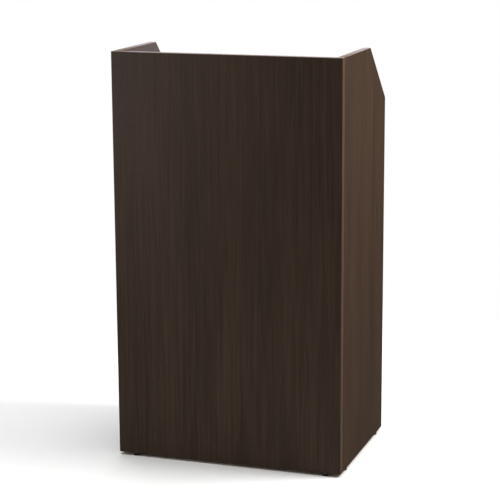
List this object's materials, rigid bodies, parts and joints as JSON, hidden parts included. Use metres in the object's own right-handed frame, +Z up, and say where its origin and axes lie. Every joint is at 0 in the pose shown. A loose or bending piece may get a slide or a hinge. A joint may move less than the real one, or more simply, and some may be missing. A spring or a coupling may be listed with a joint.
{
  "type": "presentation lectern",
  "caption": "Floor-standing lectern: dark board cabinet open at the speaker's side, raised side wings, sloping reading desk with paper stop, loose shelf and levelling feet.",
  "frame": {"origin": "on the floor, under the middle of the cabinet's box (pads screwed right in)", "axes": "+Z up; -Y towards the audience, out of the closed front panel; +Y towards the speaker, out of the open back; +X to the right as the audience sees it"},
  "size_m": [0.6, 0.412, 1.055],
  "materials": {
    "board": "dark brown woodgrain melamine on particle board, semi-matt",
    "edge_band": "dark brown edge banding, satin",
    "nylon": "moulded black nylon",
    "steel": "bright zinc plated",
    "cast_zinc": "raw die-cast zinc, matt"
  },
  "bodies": {
    "cabinet": {"front_panel": "board", "left_side_panel": "board", "right_side_panel": "board", "reading_desk": "board", "paper_stop": "board", "base_board": "board", "front_panel_edge_band": "edge_band", "left_side_edge_band": "edge_band", "right_side_edge_band": "edge_band", "desk_edge_band": "edge_band", "base_edge_band": "edge_band", "shelf_pin_left_fore": "steel", "shelf_pin_left_aft": "steel", "shelf_pin_right_fore": "steel", "shelf_pin_right_aft": "steel", "bolt_desk_left_fore": "steel", "bolt_desk_left_aft": "steel", "bolt_base_left_fore": "steel", "bolt_base_left_aft": "steel", "bolt_front_left_low": "steel", "bolt_front_left_high": "steel", "bolt_desk_right_fore": "steel", "bolt_desk_right_aft": "steel", "bolt_base_right_fore": "steel", "bolt_base_right_aft": "steel", "bolt_front_right_low": "steel", "bolt_front_right_high": "steel", "foot_front_left_insert": "steel", "foot_front_right_insert": "steel", "foot_left_fore_insert": "steel", "foot_left_aft_insert": "steel", "foot_right_fore_insert": "steel", "foot_right_aft_insert": "steel"},
    "shelf": {"shelf": "board", "shelf_edge_band": "edge_band"},
    "foot_front_left_pad": {"foot_front_left_pad": "nylon"},
    "foot_front_left_stem": {"foot_front_left_stem": "steel"},
    "foot_front_right_pad": {"foot_front_right_pad": "nylon"},
    "foot_front_right_stem": {"foot_front_right_stem": "steel"},
    "foot_left_fore_pad": {"foot_left_fore_pad": "nylon"},
    "foot_left_fore_stem": {"foot_left_fore_stem": "steel"},
    "foot_left_aft_pad": {"foot_left_aft_pad": "nylon"},
    "foot_left_aft_stem": {"foot_left_aft_stem": "steel"},
    "foot_right_fore_pad": {"foot_right_fore_pad": "nylon"},
    "foot_right_fore_stem": {"foot_right_fore_stem": "steel"},
    "foot_right_aft_pad": {"foot_right_aft_pad": "nylon"},
    "foot_right_aft_stem": {"foot_right_aft_stem": "steel"},
    "cam_desk_left_fore": {"cam_desk_left_fore": "cast_zinc"},
    "cam_desk_left_aft": {"cam_desk_left_aft": "cast_zinc"},
    "cam_base_left_fore": {"cam_base_left_fore": "cast_zinc"},
    "cam_base_left_aft": {"cam_base_left_aft": "cast_zinc"},
    "cam_front_left_low": {"cam_front_left_low": "cast_zinc"},
    "cam_front_left_high": {"cam_front_left_high": "cast_zinc"},
    "cam_desk_right_fore": {"cam_desk_right_fore": "cast_zinc"},
    "cam_desk_right_aft": {"cam_desk_right_aft": "cast_zinc"},
    "cam_base_right_fore": {"cam_base_right_fore": "cast_zinc"},
    "cam_base_right_aft": {"cam_base_right_aft": "cast_zinc"},
    "cam_front_right_low": {"cam_front_right_low": "cast_zinc"},
    "cam_front_right_high": {"cam_front_right_high": "cast_zinc"}
  },
  "joints": [
    {"name": "shelf_slide", "type": "slide", "parent": "cabinet", "child": "shelf", "axis": [0, 1, 0], "range_m": [0, 0.4]},
    {"name": "foot_front_left_travel", "type": "slide", "parent": "cabinet", "child": "foot_front_left_pad", "axis": [0, 0, -1], "range_m": [0, 0.012]},
    {"name": "foot_front_left_screw", "type": "hinge", "parent": "foot_front_left_pad", "child": "foot_front_left_stem", "pos_m": [-0.257, -0.197, 0.015], "axis": [0, 0, -1], "range_deg": [0, 4320]},
    {"name": "foot_front_right_travel", "type": "slide", "parent": "cabinet", "child": "foot_front_right_pad", "axis": [0, 0, -1], "range_m": [0, 0.012]},
    {"name": "foot_front_right_screw", "type": "hinge", "parent": "foot_front_right_pad", "child": "foot_front_right_stem", "pos_m": [0.257, -0.197, 0.015], "axis": [0, 0, -1], "range_deg": [0, 4320]},
    {"name": "foot_left_fore_travel", "type": "slide", "parent": "cabinet", "child": "foot_left_fore_pad", "axis": [0, 0, -1], "range_m": [0, 0.012]},
    {"name": "foot_left_fore_screw", "type": "hinge", "parent": "foot_left_fore_pad", "child": "foot_left_fore_stem", "pos_m": [-0.291, -0.143, 0.015], "axis": [0, 0, -1], "range_deg": [0, 4320]},
    {"name": "foot_left_aft_travel", "type": "slide", "parent": "cabinet", "child": "foot_left_aft_pad", "axis": [0, 0, -1], "range_m": [0, 0.012]},
    {"name": "foot_left_aft_screw", "type": "hinge", "parent": "foot_left_aft_pad", "child": "foot_left_aft_stem", "pos_m": [-0.291, 0.156, 0.015], "axis": [0, 0, -1], "range_deg": [0, 4320]},
    {"name": "foot_right_fore_travel", "type": "slide", "parent": "cabinet", "child": "foot_right_fore_pad", "axis": [0, 0, -1], "range_m": [0, 0.012]},
    {"name": "foot_right_fore_screw", "type": "hinge", "parent": "foot_right_fore_pad", "child": "foot_right_fore_stem", "pos_m": [0.291, -0.143, 0.015], "axis": [0, 0, -1], "range_deg": [0, 4320]},
    {"name": "foot_right_aft_travel", "type": "slide", "parent": "cabinet", "child": "foot_right_aft_pad", "axis": [0, 0, -1], "range_m": [0, 0.012]},
    {"name": "foot_right_aft_screw", "type": "hinge", "parent": "foot_right_aft_pad", "child": "foot_right_aft_stem", "pos_m": [0.291, 0.156, 0.015], "axis": [0, 0, -1], "range_deg": [0, 4320]},
    {"name": "cam_desk_left_fore_turn", "type": "hinge", "parent": "cabinet", "child": "cam_desk_left_fore", "pos_m": [-0.258, -0.10208, 0.92888], "axis": [0, -0.1392, -0.9903], "range_deg": [0, 180]},
    {"name": "cam_desk_left_aft_turn", "type": "hinge", "parent": "cabinet", "child": "cam_desk_left_aft", "pos_m": [-0.258, 0.11578, 0.89826], "axis": [0, -0.1392, -0.9903], "range_deg": [0, 180]},
    {"name": "cam_base_left_fore_turn", "type": "hinge", "parent": "cabinet", "child": "cam_base_left_fore", "pos_m": [-0.258, -0.12, 0.067], "axis": [0, 0, -1], "range_deg": [0, 180]},
    {"name": "cam_base_left_aft_turn", "type": "hinge", "parent": "cabinet", "child": "cam_base_left_aft", "pos_m": [-0.258, 0.13, 0.067], "axis": [0, 0, -1], "range_deg": [0, 180]},
    {"name": "cam_front_left_low_turn", "type": "hinge", "parent": "cabinet", "child": "cam_front_left_low", "pos_m": [-0.291, -0.164, 0.16], "axis": [1, 0, 0], "range_deg": [0, 180]},
    {"name": "cam_front_left_high_turn", "type": "hinge", "parent": "cabinet", "child": "cam_front_left_high", "pos_m": [-0.291, -0.164, 0.78], "axis": [1, 0, 0], "range_deg": [0, 180]},
    {"name": "cam_desk_right_fore_turn", "type": "hinge", "parent": "cabinet", "child": "cam_desk_right_fore", "pos_m": [0.258, -0.10208, 0.92888], "axis": [0, -0.1392, -0.9903], "range_deg": [0, 180]},
    {"name": "cam_desk_right_aft_turn", "type": "hinge", "parent": "cabinet", "child": "cam_desk_right_aft", "pos_m": [0.258, 0.11578, 0.89826], "axis": [0, -0.1392, -0.9903], "range_deg": [0, 180]},
    {"name": "cam_base_right_fore_turn", "type": "hinge", "parent": "cabinet", "child": "cam_base_right_fore", "pos_m": [0.258, -0.12, 0.067], "axis": [0, 0, -1], "range_deg": [0, 180]},
    {"name": "cam_base_right_aft_turn", "type": "hinge", "parent": "cabinet", "child": "cam_base_right_aft", "pos_m": [0.258, 0.13, 0.067], "axis": [0, 0, -1], "range_deg": [0, 180]},
    {"name": "cam_front_right_low_turn", "type": "hinge", "parent": "cabinet", "child": "cam_front_right_low", "pos_m": [0.291, -0.164, 0.16], "axis": [-1, 0, 0], "range_deg": [0, 180]},
    {"name": "cam_front_right_high_turn", "type": "hinge", "parent": "cabinet", "child": "cam_front_right_high", "pos_m": [0.291, -0.164, 0.78], "axis": [-1, 0, 0], "range_deg": [0, 180]}
  ],
  "couplings": [
    {"joint": "foot_front_left_travel", "follows": "foot_front_left_screw", "m_per_rad": 0.00015915},
    {"joint": "foot_front_right_travel", "follows": "foot_front_right_screw", "m_per_rad": 0.00015915},
    {"joint": "foot_left_fore_travel", "follows": "foot_left_fore_screw", "m_per_rad": 0.00015915},
    {"joint": "foot_left_aft_travel", "follows": "foot_left_aft_screw", "m_per_rad": 0.00015915},
    {"joint": "foot_right_fore_travel", "follows": "foot_right_fore_screw", "m_per_rad": 0.00015915},
    {"joint": "foot_right_aft_travel", "follows": "foot_right_aft_screw", "m_per_rad": 0.00015915}
  ]
}
